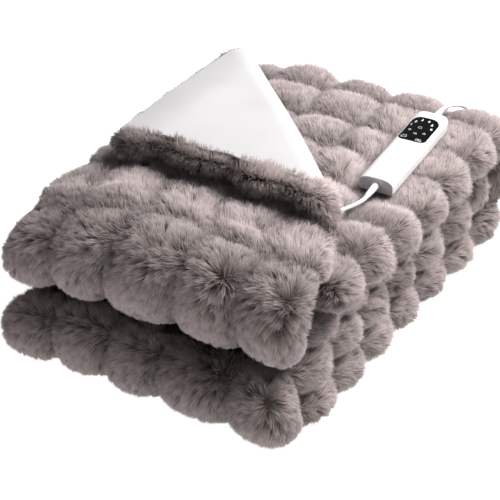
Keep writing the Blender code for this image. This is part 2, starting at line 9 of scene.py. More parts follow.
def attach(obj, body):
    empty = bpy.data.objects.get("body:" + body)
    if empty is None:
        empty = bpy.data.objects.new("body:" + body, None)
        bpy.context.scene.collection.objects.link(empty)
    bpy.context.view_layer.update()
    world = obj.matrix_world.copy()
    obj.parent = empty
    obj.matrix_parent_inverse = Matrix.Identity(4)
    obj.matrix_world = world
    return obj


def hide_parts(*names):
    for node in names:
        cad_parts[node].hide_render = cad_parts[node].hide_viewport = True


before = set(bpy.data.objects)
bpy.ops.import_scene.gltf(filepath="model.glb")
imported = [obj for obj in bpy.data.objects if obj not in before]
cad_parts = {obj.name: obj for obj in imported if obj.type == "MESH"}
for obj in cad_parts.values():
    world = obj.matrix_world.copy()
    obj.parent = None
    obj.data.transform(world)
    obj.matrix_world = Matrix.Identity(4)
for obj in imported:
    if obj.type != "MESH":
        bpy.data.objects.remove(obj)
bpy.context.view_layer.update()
dice = np.random.default_rng(31)


def clamp(value, low=0.0, high=1.0):
    return max(low, min(high, value))


def ease(value):
    t = clamp(value)
    return t * t * (3 - 2 * t)


def easeArray(values):
    t = np.clip(values, 0, 1)
    return t * t * (3 - 2 * t)


def rising(value, edge, over):
    # 0 before the edge and 1 from this far past it, and the other way round where that is negative
    return ease((value - edge) / over)


def risingArray(values, edge, over):
    return easeArray((values - edge) / over)


def mix(start, end, share):
    return start + (end - start) * share


def addGrid(bm, across, along):
    # a square grid from -1 to 1
    return bmesh.ops.create_grid(bm, x_segments=across, y_segments=along, size=1.0)["verts"]


def newLines(name, radius, roundness):
    # a curve that makes round lines of its splines
    curve = bpy.data.curves.new(name, "CURVE")
    curve.dimensions = "3D"
    curve.bevel_depth = radius
    curve.bevel_resolution = roundness
    return curve


def addLine(curve, points):
    spline = curve.splines.new("POLY")
    spline.points.add(len(points) - 1)
    for target, point in zip(spline.points, points):
        target.co = (*point, 1)


def linkPiece(piece, finish):
    bpy.context.scene.collection.objects.link(piece)
    piece.data.materials.append(finish)
    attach(piece, "root")
    return piece


def addPiece(name, bm, finish, sharpest=math.radians(40)):
    mesh = bpy.data.meshes.new(name)
    bm.to_mesh(mesh)
    bm.free()
    mesh.shade_smooth()
    mesh.set_sharp_from_angle(angle=sharpest)
    return linkPiece(bpy.data.objects.new(name, mesh), finish)


# finishes

def setInputs(node, **values):
    for name, value in values.items():
        node.inputs[name.replace("_", " ")].default_value = value


def newFinish(name, roughness, **sockets):
    finish = bpy.data.materials.new(name)
    finish.use_nodes = True
    shader = finish.node_tree.nodes["Principled BSDF"]
    setInputs(shader, Roughness=roughness, **sockets)
    return finish, finish.node_tree.nodes, finish.node_tree.links, shader


def addRamp(nodes, links, source, target, stops):
    ramp = nodes.new("ShaderNodeValToRGB")
    elements = ramp.color_ramp.elements
    while len(elements) < len(stops):
        elements.new(0.5)
    for element, (position, colour) in zip(elements, stops):
        element.position = position
        element.color = (*colour, 1)
    links.new(source, ramp.inputs["Fac"])
    links.new(ramp.outputs["Color"], target)


def addNoise(nodes, links, source, scale, detail):
    pattern = nodes.new("ShaderNodeTexNoise")
    setInputs(pattern, Scale=scale, Detail=detail)
    links.new(source, pattern.inputs["Vector"])
    return pattern.outputs["Fac"]


def addBump(nodes, links, height, shader, strength, depth):
    bump = nodes.new("ShaderNodeBump")
    setInputs(bump, Strength=strength, Distance=depth)
    links.new(height, bump.inputs["Height"])
    links.new(bump.outputs["Normal"], shader.inputs["Normal"])


pileColours = {
    # along a hair, from its root to its tip; the roots are painted darker, as the shade deep in the pile
    "stops": ((0.0, (0.046, 0.035, 0.029)), (0.45, (0.225, 0.185, 0.171)), (1.0, (0.518, 0.443, 0.447))),
    "shades": (0.42, 1.52),  # of the darkest locks and the palest
    "through": 0.30,  # share of the light that passes through a hair
}


def pileFinish():
    # a hair's shade is in U and the way along it in V
    finish, nodes, links, shader = newFinish("pileHair", roughness=0.75, Specular_IOR_Level=0.25,
                                             Sheen_Weight=0.25, Sheen_Roughness=0.5)
    place = nodes.new("ShaderNodeUVMap")
    place.uv_map = "OFBake"
    split = nodes.new("ShaderNodeSeparateXYZ")
    links.new(place.outputs["UV"], split.inputs["Vector"])
    shade = nodes.new("ShaderNodeMapRange")
    setInputs(shade, To_Min=pileColours["shades"][0], To_Max=pileColours["shades"][1])
    links.new(split.outputs["X"], shade.inputs["Value"])
    tint = nodes.new("ShaderNodeVectorMath")
    tint.operation = "SCALE"
    links.new(shade.outputs["Result"], tint.inputs["Scale"])
    addRamp(nodes, links, split.outputs["Y"], tint.inputs[0], pileColours["stops"])
    links.new(tint.outputs["Vector"], shader.inputs["Base Color"])
    thin = nodes.new("ShaderNodeBsdfTranslucent")
    links.new(tint.outputs["Vector"], thin.inputs["Color"])
    both = nodes.new("ShaderNodeMixShader")
    setInputs(both, Fac=pileColours["through"])
    links.new(shader.outputs["BSDF"], both.inputs[1])
    links.new(thin.outputs["BSDF"], both.inputs[2])
    links.new(both.outputs["Shader"], nodes["Material Output"].inputs["Surface"])
    return finish


def grainedFinish(name, roughness, clouds, stops, grain, relief, **sockets):
    # clouds tint it and the grain raises it; each is a noise's scale and detail
    finish, nodes, links, shader = newFinish(name, roughness, **sockets)
    place = nodes.new("ShaderNodeTexCoord").outputs["Object"]
    addRamp(nodes, links, addNoise(nodes, links, place, *clouds), shader.inputs["Base Color"], stops)
    addBump(nodes, links, addNoise(nodes, links, place, *grain), shader, *relief)
    return finish


def plasticFinish(name, colour, roughness, grain, strength):
    darker, paler = (tuple(min(1.0, value * change) for value in colour) for change in (0.96, 1.03))
    return grainedFinish(name, roughness, clouds=(35, 2.0), stops=((0.35, darker), (0.65, paler)),
                         grain=(grain, 2.0), relief=(strength, 0.0002),
                         Coat_Weight=0.15, Coat_Roughness=0.2)


finishes = {
    "pile": pileFinish(),
    # the backing is painted dark, standing in for the shade deep down in the pile
    "backing": grainedFinish(
        "pileBacking", roughness=0.95, clouds=(420, 3.0),
        stops=((0.3, (0.045, 0.037, 0.036)), (0.7, (0.13, 0.108, 0.106))),
        grain=(420, 3.0), relief=(0.6, 0.002), Specular_IOR_Level=0.1,
    ),
    "lining": grainedFinish(
        "liningVelvet", roughness=0.62, clouds=(9, 2.0),
        stops=((0.30, (0.404, 0.390, 0.394)), (0.62, (0.452, 0.441, 0.444))),
        grain=(900, 4.0), relief=(0.35, 0.0006), Specular_IOR_Level=0.3, Sheen_Weight=0.15,
    ),
    "shell": plasticFinish("glossyShell", (0.60, 0.593, 0.587), 0.26, grain=1400, strength=0.05),
    "sheath": plasticFinish("cordSheath", (0.68, 0.673, 0.668), 0.42, grain=900, strength=0.12),
    "display": newFinish("displayGlass", roughness=0.15, Base_Color=(0.003, 0.003, 0.0033, 1),
                         Specular_IOR_Level=0.14)[0],
    "symbol": plasticFinish("symbolPrint", (0.80, 0.81, 0.82), 0.45, grain=500, strength=0.02),
    "pin": newFinish("platedPin", roughness=0.28, Metallic=1.0, Base_Color=(0.70, 0.68, 0.64, 1))[0],
}
print("finishes made")

# camera, light and floor

view = {
    "azimuth": 31.23,  # degrees round the stack from its front
    "elevation": 33.05,
    "distance": 2.2348,
    "lens": 136.8,
    "aim": (0.0015, -0.0011, 0.105),
    "across": -0.0241,  # slides of the eye, along the picture's width and height
    "upward": -0.0419,
}


def makeCamera():
    turn = math.radians(view["azimuth"])
    tilt = math.radians(view["elevation"])
    right = Vector((math.cos(turn), math.sin(turn), 0))
    back = Vector((math.sin(turn) * math.cos(tilt), -math.cos(turn) * math.cos(tilt), math.sin(tilt)))
    up = back.cross(right)
    eye = Vector(view["aim"]) + right * view["across"] + up * view["upward"] + back * view["distance"]
    lens = bpy.data.cameras.new("camera")
    lens.lens = view["lens"]
    camera = bpy.data.objects.new("camera", lens)
    camera.matrix_world = Matrix.Translation(eye) @ Matrix((right, up, back)).transposed().to_4x4()
    bpy.context.scene.collection.objects.link(camera)
    bpy.context.scene.camera = camera


lamps = {
    # name: place, size in metres, watts
    "overhead": ((0.80, 0.62, 1.85), 1.2, 63),
    "rightSide": ((1.65, 1.25, 1.95), 0.9, 64),
    "front": ((-0.6, -2.2, 1.2), 1.6, 1),
}
studio = {
    "aim": Vector((0, 0, 0.1)),  # of the lamps
    "world": 0.22,
    "floorSize": 12.0,
    "floorColour": (0.30, 0.30, 0.30, 1),
    "floorGlow": 1.0,  # which keeps it as white as the photo's
}


def makeStudio():
    for name, (place, size, watts) in lamps.items():
        light = bpy.data.lights.new(name, "AREA")
        light.size = size
        light.energy = watts
        lamp = bpy.data.objects.new(name, light)
        lamp.location = place
        lamp.rotation_euler = (Vector(place) - studio["aim"]).to_track_quat("Z", "Y").to_euler()
        bpy.context.scene.collection.objects.link(lamp)
    bpy.context.scene.view_settings.view_transform = "Standard"
    world = bpy.data.worlds.new("studio")
    world.use_nodes = True
    setInputs(world.node_tree.nodes["Background"], Color=(1, 1, 1, 1), Strength=studio["world"])
    bpy.context.scene.world = world
    bm = bmesh.new()
    bmesh.ops.create_grid(bm, x_segments=1, y_segments=1, size=studio["floorSize"] / 2)
    mesh = bpy.data.meshes.new("floor")
    bm.to_mesh(mesh)
    bm.free()
    floor = bpy.data.objects.new("floor", mesh)
    finish = newFinish("paleFloor", roughness=0.9, Base_Color=studio["floorColour"],
                       Emission_Color=(1, 1, 1, 1), Emission_Strength=studio["floorGlow"])[0]
    floor.data.materials.append(finish)
    bpy.context.scene.collection.objects.link(floor)


makeCamera()
makeStudio()
print("camera and studio made")

# cords

cord = {"diameter": 0.005, "spacing": 0.012, "roundness": 4}

lead = {
    "spacing": 0.003,
    "buriedFrom": 4,  # the point of its route from which it lies in the pile
    "route": (
        (0.1383, -0.0222, 0.1842), (0.1384, -0.0290, 0.1840), (0.1368, -0.0370, 0.1834),
        (0.1335, -0.0450, 0.1826), (0.1294, -0.0530, 0.1818), (0.1245, -0.0615, 0.1812),
        (0.1195, -0.0700, 0.1808),
    ),
}
mains = {
    "route": (
        (0.1230, 0.1951, 0.1875), (0.1235, 0.2040, 0.1870), (0.1255, 0.2165, 0.1845),
        (0.1280, 0.2305, 0.1790), (0.1305, 0.2460, 0.1698), (0.1327, 0.2600, 0.1565),
        (0.1347, 0.2712, 0.1395), (0.1365, 0.2822, 0.1185), (0.1375, 0.2892, 0.0950),
        (0.1375, 0.2917, 0.0700), (0.1365, 0.2927, 0.0450), (0.1345, 0.2962, 0.0240),
        (0.1305, 0.3045, 0.0095), (0.1245, 0.3165, 0.0034), (0.1170, 0.3290, 0.0029),
        (0.1060, 0.3385, 0.0028), (0.0920, 0.3435, 0.0028), (0.0770, 0.3447, 0.0028),
        (0.0625, 0.3447, 0.0028),
    ),
    "tail": (
        (0.0275, 0.3447, 0.0118), (0.0180, 0.3450, 0.0106), (0.0080, 0.3460, 0.0092),
        (-0.0010, 0.3470, 0.0079), (-0.0097, 0.3475, 0.0070),
    ),
}
coil = {
    "centre": (0.045, 0.378),
    "radius": 0.0275,  # at the middle of its turns
    "steps": 20,  # points round a turn
    "shift": 5,  # of them in which a turn moves over to the next one
    # (column, level) of each turn, from the first to the last
    "turns": ((2, 0), (2, 1), (1, 1), (1, 0), (0, 0), (0, 1), (0, 2), (1, 2), (2, 2)),
    "sway": 0.0003,
    "swayTurns": (2.1, 0.7),  # its angle from turn to turn and from point to point
    "leavesAt": 0.0125,  # height at which the tail comes off the last turn
}


def smoothCurve(route, spacing):
    # reads points from a smooth curve through the route's own points
    ends = [Vector(route[0]) * 2 - Vector(route[1])] + [Vector(point) for point in route]
    ends.append(ends[-1] * 2 - ends[-2])
    points = []
    for a, b, c, d in zip(ends, ends[1:], ends[2:], ends[3:]):
        steps = max(1, round((c - b).length / spacing))
        for k in range(steps):
            t = k / steps
            cubic = (3 * b - a - 3 * c + d) * t**3
            points.append(((2 * b) + (c - a) * t + (2 * a - 5 * b + 4 * c - d) * t**2 + cubic) / 2)
    return points + [ends[-2]]


def coilPoints():
    # the turns run clockwise from above, from the coil's near side
    points = []
    steps = coil["steps"]
    perTurn, perPoint = coil["swayTurns"]
    for number, (column, level) in enumerate(coil["turns"]):
        isLast = number == len(coil["turns"]) - 1
        nextColumn, nextLevel = (column, level) if isLast else coil["turns"][number + 1]
        for k in range(steps):
            moved = ease((k - steps + coil["shift"]) / coil["shift"])
            high = mix(level, nextLevel, moved)
            radius = coil["radius"] + (mix(column, nextColumn, moved) - 1) * cord["diameter"]
            radius += coil["sway"] * math.sin(number * perTurn + k * perPoint)
            angle = -math.pi / 2 - math.tau * k / steps
            x = coil["centre"][0] + radius * math.cos(angle)
            y = coil["centre"][1] + radius * math.sin(angle)
            points.append(Vector((x, y, (high + 0.5) * cord["diameter"])))
    return points


def makeCord(name, points):
    curve = newLines(name, cord["diameter"] / 2, cord["roundness"])
    curve.use_fill_caps = True
    addLine(curve, points)
    return linkPiece(bpy.data.objects.new(name, curve), finishes["sheath"])


def lengthOf(points):
    return sum((b - a).length for a, b in zip(points, points[1:]))


leadPoints = smoothCurve(lead["route"], lead["spacing"])
leadCord = makeCord("leadCord", leadPoints)
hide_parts("lead")
coilEnd = (coil["centre"][0], coil["centre"][1] - coil["radius"] - cord["diameter"], coil["leavesAt"])
mainsPoints = smoothCurve(mains["route"], cord["spacing"]) + coilPoints()
mainsPoints += smoothCurve((coilEnd,) + mains["tail"], cord["spacing"])
mainsCord = makeCord("mainsCord", mainsPoints)
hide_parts("mains_cord", "mains_coil", "mains_tail")
print("cords made:", round(lengthOf(leadPoints), 4), round(lengthOf(mainsPoints), 4))

# the throw

throw = {
    "foldWidth": 0.380,
    "puff": 0.078,  # pitch of the puffs
    "puffHeight": 0.015,
    "scallop": 0.016,
    "scallopFrom": 0.05,  # how far in from the sides the scallops begin
    "scallopMean": 0.6,
    "inset": 0.0065,  # the backing lies this far inside the pile's surface
    "spacing": 0.0062,
    "bendHalf": 0.018,  # the cloth's part in the radius by which a bend's rows are counted
    "rimSteps": (0, 0.0005, 0.0018, 0.004, 0.0072, 0.0112, 0.016),  # of the columns, in from a side
    "endSteps": (0, 0.001, 0.006, 0.015, 0.030),  # of the rows, in from a free end, as shares of a run
    "endStepsOver": 0.035,
    "weld": 0.00012,
}
# each layer's lowest point, thickness, shift along X and change of width
layers = {
    "bottom": (0.000, 0.041, -0.012, 0.006),
    "second": (0.044, 0.041, -0.008, -0.014),
    "third": (0.088, 0.042, -0.009, -0.018),
    "fourth": (0.133, 0.042, 0.002, 0.012),
    "top": (0.178, 0.028, 0.000, 0.000),
}
frontUpper = -0.202
frontLower = -0.230
backOuter = 0.192
backInner = 0.190
innerEnd = -0.187
topEnd = 0.186
# layer, Y at the start of its run and at its end, puffs along it
runs = (
    ("fourth", innerEnd, backOuter, 6),
    ("bottom", backOuter, frontLower, 6),
    ("second", frontLower, backInner, 6),
    ("third", backInner, frontUpper, 6),
    ("top", frontUpper, topEnd, 5),
)
bendPuffs = (3, 1, 1, 1)
openBends = (0, 1, 3)  # the bends that show, by the run that they follow
puffing = {
    "square": 2.6,  # higher is flatter on top
    "strays": 0.22,  # how far the lines between the puffs stray, as a share of a puff
    "strayStep": 0.7,  # through the noise, from puff to puff
    "strayLevels": (3.1, 9.7),  # of the noise, for the two ways
    "height": (0.86, 0.28),  # share of the full height, and how much that changes from puff to puff
    "heightCell": (5.3, 3.7, 1.9),  # steps through its noise, and the noise's level
    # where the puffs rise or sink, and over what length
    "pastTurn": (0.020, 0.045),
    "underCorner": (-0.012, 0.034),
    # shares of a bend over which they rise and sink, by the run before it
    "bendStart": {1: 0.35, 3: 0.30},
    "bendEnd": {0: 0.18, 1: 0.30},
}
# it turns along the line x + y = 0
corner = {
    "thick": 0.022,
    "round": 0.030,
    "leftPull": 0.040,  # how far the top layer's left side is drawn in by its end
    "rightPull": 0.038,  # and its right side, over the first of its length
    "rightPullOver": 0.050,
    "gap": 0.003,
    "tuft": 0.018,  # how far the right end of the turn swells out
    "tuftAt": Vector((0.176, -0.136)),
    "tuftReach": 0.055,
    "calmer": 0.5,  # share by which the scallops are lower on the turned part
}
corner["radius"] = (layers["top"][1] / 2 + corner["thick"] / 2) / 2 + corner["gap"]
uneven = {
    "sway": 0.006,
    "size": 0.24,
    "starts": ((4.1, 1.3, 2.2), (7.7, 3.1, 5.9), (1.9, 8.3, 6.4)),
    "settled": 0.09,  # height from which the cloth moves up or down by the whole of it
    # how far the front left corner and the upper left side hang, from where and over what length
    "droop": 0.010,
    "droopX": (-0.08, -0.13),
    "droopY": (-0.10, -0.18),
    "shoulder": 0.022,
    "shoulderX": (-0.08, -0.12),
    "shoulderZ": (0.10, 0.10),
    "centre": (-0.0034, 0.0044),
}
handset = {
    "size": (0.042, 0.168, 0.020),
    "at": Vector((0.1306, 0.0864, 0.1761)),
    "tilt": Euler((math.radians(0.8), math.radians(0.5), math.radians(3.9))),
}
pressed = {"share": 0.10, "clear": 0.014, "margin": 0.030}  # where the pile is flattened

halfFold = throw["foldWidth"] / 2
acrossTurn = Vector((1, 1, 0)).normalized()
alongTurn = Vector((1, -1, 0)).normalized()


def middleOf(layer):
    low, thick, _, _ = layers[layer]
    return low + thick / 2


def sidePulls(y):
    left = corner["leftPull"] * (y - frontUpper) / (topEnd - frontUpper)
    return left, corner["rightPull"] * ease((y - frontUpper) / corner["rightPullOver"])


def drawnIn(x, y):
    left, right = sidePulls(y)
    return x + left * (0.5 - x / throw["foldWidth"]) - right * (0.5 + x / throw["foldWidth"])


def besideHandset(x, y):
    centreX, centreY = uneven["centre"]
    offset = Vector((x - centreX - handset["at"].x, y - centreY - handset["at"].y))
    local = Matrix.Rotation(-handset["tilt"].z, 2) @ offset
    width, length, _ = handset["size"]
    return math.hypot(max(abs(local.x) - width / 2, 0), max(abs(local.y) - length / 2, 0))


def fullness(kind, run, share, x, y):
    # how far the puffs rise here, as a share of their height
    name = runs[run][0]
    pastTurn = rising(x + y, *puffing["pastTurn"])
    flattened = pressed["share"]
    if kind == "run" and name == "fourth":
        dent = rising(besideHandset(x, y), pressed["clear"], pressed["margin"])
        return pastTurn * (flattened + (1 - flattened) * dent)
    if kind == "run" and name == "top":
        if drawnIn(x, y) + y > 0:
            return flattened
        covered = rising(y + halfFold, *puffing["underCorner"])
        return 1 - (1 - flattened) * covered
    if kind == "run" or run not in openBends:
        return 0.0
    full = pastTurn if run == 0 else 1.0
    if run in puffing["bendStart"]:
        full *= ease(share / puffing["bendStart"][run])
    if run in puffing["bendEnd"]:
        full *= ease((1 - share) / puffing["bendEnd"][run])
    return full


def puffPlace(across, along):
    # where a point lies on its puff, from -1 to 1 both ways, and the puff's own height
    step = puffing["strayStep"]
    spots = [Vector((across * step, along * step, level)) for level in puffing["strayLevels"]]
    across += noise.noise(spots[0]) * puffing["strays"]
    along += noise.noise(spots[1]) * puffing["strays"]
    stepX, stepY, level = puffing["heightCell"]
    cell = Vector((math.floor(across) * stepX, math.floor(along) * stepY, level))
    mean, change = puffing["height"]
    return 2 * (across % 1.0) - 1, 2 * (along % 1.0) - 1, mean + change * noise.noise(cell)


def puffed(row, x, y):
    # how far a puff raises the pile's surface
    kind, run, share, puffs = row
    full = throw["puffHeight"] * fullness(kind, run, share, x, y)
    a, b, height = puffPlace(x / throw["puff"] + 0.5, puffs)
    return full * (height * (1 - abs(a) ** puffing["square"]) * (1 - abs(b) ** puffing["square"]))


def endTuft(point):
    # the swelling at the right end of the turn, less on its underside
    low, thick, _, _ = layers["top"]
    near = ease(1 - (point.xy - corner["tuftAt"]).length / corner["tuftReach"])
    return point + acrossTurn * corner["tuft"] * near * ease((point.z - low) / thick)


def turnCorner(flat):
    # a flat point carried round the turn, its ways out and sideways, and how far it is turned
    radius = corner["radius"]
    beyond = max((flat.x + flat.y) / math.sqrt(2), 0.0)
    angle = min(beyond / radius, math.pi)
    past = max(beyond - math.pi * radius, 0.0)
    reach = radius * math.sin(angle) - past
    ahead = acrossTurn * math.cos(angle) + Vector((0, 0, math.sin(angle)))
    fur = Vector((0, 0, math.cos(angle))) - acrossTurn * math.sin(angle)
    point = flat + acrossTurn * (reach - beyond) + Vector((0, 0, radius * (1 - math.cos(angle))))
    return point, fur, (ahead + alongTurn) / math.sqrt(2), angle / math.pi


def roundTip(x, y):
    inX = corner["round"] - (halfFold - x)
    inY = corner["round"] - (topEnd - y)
    if inX > 0 and inY > 0:
        scale = max(inX, inY) / math.hypot(inX, inY)
        x -= inX * (1 - scale)
        y -= inY * (1 - scale)
    return drawnIn(x, y), y


def swayed(point):
    push = Vector([noise.noise(point / uneven["size"] + Vector(start)) for start in uneven["starts"]])
    push *= uneven["sway"]
    droop = uneven["droop"] * rising(point.x, *uneven["droopX"]) * rising(point.y, *uneven["droopY"])
    shoulder = rising(point.x, *uneven["shoulderX"]) * rising(point.z, *uneven["shoulderZ"])
    droop += uneven["shoulder"] * shoulder
    height = max(point.z + (push.z - droop) * ease(point.z / uneven["settled"]), 0.0)
    centreX, centreY = uneven["centre"]
    return Vector((point.x + push.x - centreX, point.y + push.y - centreY, height))


def sideWave(x, puffs, name):
    _, _, shift, wider = layers[name]
    reach = throw["scallopFrom"]
    outward = math.copysign(ease((abs(x) - halfFold + reach) / reach), x)
    wave = throw["scallop"] * (abs(math.sin(math.pi * puffs)) - throw["scallopMean"])
    return outward * (wave + wider / 2) + shift


lining = {
    "gap": 0.0013,
    "thick": 0.0015,
    "frontInset": (0.028, 0.016),  # from the corner's front edge, at the turn and at the tip
    "sideInset": 0.012,
    "across": 70,
    "turnSteps": 26,
    "flatSteps": 44,
    "tip": 0.004,  # of the tip that is left off
    "rise": 0.006,  # the backing comes up to it over this much
    "rounds": 20,  # of settling where its front edge crosses a line along the turn
    "drawnBack": 0.022,  # how far its right edge keeps back from the end of the turn
}


def liningColumn(y):
    atTurn, atTip = lining["frontInset"]
    share = clamp((y + halfFold) / (topEnd + halfFold))
    return halfFold - atTurn - (atTip - atTurn) * share


def undrawnX(drawn, y):
    left, right = sidePulls(y)
    return (drawn - 0.5 * (left - right)) / (1 - (left + right) / throw["foldWidth"])


def yOnLine(x, reach):
    pull = corner["leftPull"] / (topEnd - frontUpper) * (0.5 - x / throw["foldWidth"])
    narrowed = corner["rightPull"] * (0.5 + x / throw["foldWidth"])
    return (reach - x + pull * frontUpper + narrowed) / (1 + pull)


def underLining(x, y):
    # 1 where the lining lies over the backing, 0 outside its edges
    farY = topEnd - lining["sideInset"]
    leftX = lining["sideInset"] - halfFold
    within = (liningColumn(y) - x, farY - y, x - leftX)
    return math.prod(ease(0.5 + distance / lining["rise"]) for distance in within)


def onRun(row, x, side, inset):
    _, run, share, puffs = row
    name, start, end = runs[run][:3]
    y = mix(start, end, share)
    half = layers[name][1] / 2
    point = Vector((x, y, middleOf(name)))
    fur = Vector((0, 0, 1 if end > start else -1))
    sideways = Vector((1, 0, 0))
    freeEnd = throw["foldWidth"]
    waving = 1.0
    if name == "fourth":
        freeEnd = y - start - inset
    if name == "top":
        freeEnd = end - y - inset
        point, fur, sideways, turned = turnCorner(Vector((*roundTip(x, y), middleOf(name))))
        half += (corner["thick"] / 2 - half) * turned
        waving -= corner["calmer"] * turned
    height = half - inset
    near = clamp(min(halfFold - inset - abs(x), freeEnd) / height)
    if side > 0:
        height += puffed(row, x, y)
    elif name == "top" and inset > 0:
        height += inset * underLining(x, y)
    height *= side * math.sqrt(1 - (1 - near) ** 2)
    point += fur * height + sideways * sideWave(x, puffs, name) * waving
    return endTuft(point) if name == "top" else point


def onBend(row, x, side, inset):
    _, run, share, puffs = row
    name, start, end = runs[run][:3]
    after = runs[run + 1][0]
    heading = 1 if end > start else -1
    half = (layers[name][1] * (1 - share) + layers[after][1] * share) / 2
    centre = (middleOf(name) + middleOf(after)) / 2
    radius = abs(middleOf(name) - middleOf(after)) / 2
    above = 1 if middleOf(name) > centre else -1
    angle = math.pi * share
    outward = Vector((0, heading * math.sin(angle), above * math.cos(angle)))
    height = half - inset
    near = clamp((halfFold - inset - abs(x)) / height)
    if side > 0:
        height += puffed(row, x, end)
    height *= side * above * heading * math.sqrt(1 - (1 - near) ** 2)
    wave = sideWave(x, puffs, name) * (1 - share) + sideWave(x, puffs, after) * share
    return Vector((x + wave, end, centre)) + outward * (radius + height)


def stripPoint(row, x, side, inset):
    place = onRun if row[0] == "run" else onBend
    return swayed(place(row, x, side, inset))


def stripRows():
    rows = []
    puffs = 0
    for i, (name, start, end, count) in enumerate(runs):
        isLast = i == len(runs) - 1
        span = abs(end - start)
        begin = throw["inset"] / span if i == 0 else 0.0
        finish = (span - (throw["inset"] if isLast else 0)) / span
        steps = round((finish - begin) * span / throw["spacing"])
        shares = [begin + (finish - begin) * k / steps for k in range(steps)]
        if isLast:
            shares = [share for share in shares if share < finish - throw["endStepsOver"]]
            shares += [finish - step for step in reversed(throw["endSteps"])]
        if i == 0:
            shares = [share for share in shares if share > begin + throw["endStepsOver"]]
            shares = [begin + step for step in throw["endSteps"]] + shares
        rows += [("run", i, share, puffs + count * share) for share in shares]
        puffs += count
        if not isLast:
            gap = abs(middleOf(name) - middleOf(runs[i + 1][0]))
            steps = round(math.pi * (gap / 2 + throw["bendHalf"]) / throw["spacing"])
            rows += [("bend", i, k / steps, puffs + bendPuffs[i] * k / steps) for k in range(steps)]
            puffs += bendPuffs[i]
    return rows


def stripColumns():
    half = halfFold - throw["inset"]
    rim = [half - step for step in throw["rimSteps"]]
    steps = round(2 * rim[-1] / throw["spacing"])
    between = [rim[-1] * (2 * k / steps - 1) for k in range(1, steps)]
    return [-x for x in rim] + between + rim[::-1]


rows = stripRows()
columns = stripColumns()


def makeBacking():
    # one grid for the pile's side and one for the back, joined round their edges
    bm = bmesh.new()
    grids = []
    for side in (1, -1):
        verts = addGrid(bm, len(columns) - 1, len(rows) - 1)
        grid = np.zeros((len(rows), len(columns), 3))
        for vert in verts:
            column = round((vert.co.x + 1) / 2 * (len(columns) - 1))
            number = round((vert.co.y + 1) / 2 * (len(rows) - 1))
            vert.co = stripPoint(rows[number], columns[column], side, throw["inset"])
            grid[number, column] = vert.co
        if side < 0:
            faces = {face for vert in verts for face in vert.link_faces}
            bmesh.ops.reverse_faces(bm, faces=list(faces))
        grids.append(grid)
    bmesh.ops.remove_doubles(bm, verts=bm.verts, dist=throw["weld"])
    return addPiece("throwBacking", bm, finishes["backing"], math.pi), grids


throwBacking, (pileGrid, backGrid) = makeBacking()
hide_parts("throw")
print("backing made:", len(rows), "rows", len(columns), "columns")

# the pile: locks of flat tapered hairs, rooted on the backing

pile = {
    "pieces": 5,
    "locksPerPiece": 9000,
    "lock": 17,  # hairs in a lock
    "spread": 0.0050,  # how far a lock's roots lie from its middle
    "leastStep": 0.001,  # counted between two points of the grid
    "gather": (0.24, 0.66),  # how far its tips are drawn together, on top and on the front
    "length": 0.0165,
    "shorter": 0.22,  # share by which the shortest locks are shorter
    "puffed": (0.50, 1.22),  # share of that length between the puffs and on them
    "width": 0.0012,  # of a hair's root
    "upright": 0.54,
    "uprightOnFront": 0.34,
    "stroked": np.array((-0.35, 0.65, -1.10)),  # the way it is stroked
    "strokedOnFlap": np.array((0.42, -0.60, -0.48)),  # and on the turned corner
    "uprightOnFlap": 0.80,
    "lay": 0.95,  # lean along that way
    "layOnFront": 1.25,
    "frontFrom": (0.1, 1.4),  # what counts as the front, by the slope of the cloth
    "overLining": 0.55,  # lean over the lining's front edge of the hairs beside it
    "unstroked": 0.7,  # and how much less they are stroked
    "leadHidden": 0.022,  # this near the buried end of the lead the pile stands higher
    "leadLonger": 1.3,
    "combed": 0.75,  # share of a hair's way that follows the cloth and not the puff under it
    "combSteps": 5,
    "splay": 0.10,  # lean away from a puff's middle
    "swirl": 0.85,  # lean along a slow swirl over the cloth
    "swirlSize": 0.034,
    "swirlLevels": (4.4, 11.7),  # of its noise, for the two ways
    "calmerOnFlap": 0.6,
    "wild": 0.14,  # lean of a lock its own way
    "stray": 0.11,  # and of a hair
    "shorterHairs": 0.30,  # share by which a lock's shortest hairs are shorter
    "tumbled": 0.20,  # how far a hair is turned out of the way that its cloth faces
    "widths": (0.7, 0.6),  # the least share of its width, and how much more it may be
    "soft": 0.60,  # how far a hair is shaded like the cloth under it
    "softOnFlap": 0.90,
    "harderOnFront": 0.12,
    "lockShade": 0.10,  # how much the shade changes from lock to lock
    "hairShade": 0.07,
    "paintedPuffShade": 0.62,  # painted shade: how much darker the hairs are coloured between the puffs, and paler on their tops
    # painted light: how much paler the hairs on the turned corner are coloured
    "paintedLightOnFlap": 0.26,
    # painted light: how much paler the row of hairs along the lining's front edge is coloured
    "paintedLightByLining": 0.10,
    "shades": (0.02, 0.98),
    "lowest": 0.0008,
}
# where hairs stand: an edge, and the length over which they thicken past it
rooted = {
    "rim": (0.046, -0.012),  # from the cloth's sides and free end, on the pile's side
    "backRim": (0.030, -0.010),  # and on the back
    "underCorner": (-0.030, 0.015),  # from the line of the turn, on the fourth layer
    "byEdge": (-0.002, 0.002),  # from the lining's front edge, outwards
    "bySides": (0.002, 0.002),  # and from its two others
    "turned": 0.012,  # past the line of the turn, where the lining begins
    "onFlap": 0.015,  # and where the pile looks like the turned corner's
    "row": 0.014,  # width of the thicker row of hairs along the lining's front edge
    "under": 0.001,  # how far that starts under the lining
    "thicker": 2.0,
}


def blurred(table, steps):
    # the mean over this many grid steps to each side, both ways
    for axis in (0, 1):
        margins = [(0, 0)] * table.ndim
        margins[axis] = (steps, steps)
        wide = np.pad(table, margins, mode="edge")
        size = table.shape[axis]
        shifted = [np.take(wide, range(k, k + size), axis=axis) for k in range(2 * steps + 1)]
        table = sum(shifted) / len(shifted)
    return table


def unit(vectors):
    return vectors / np.maximum(np.linalg.norm(vectors, axis=-1, keepdims=True), 1e-9)


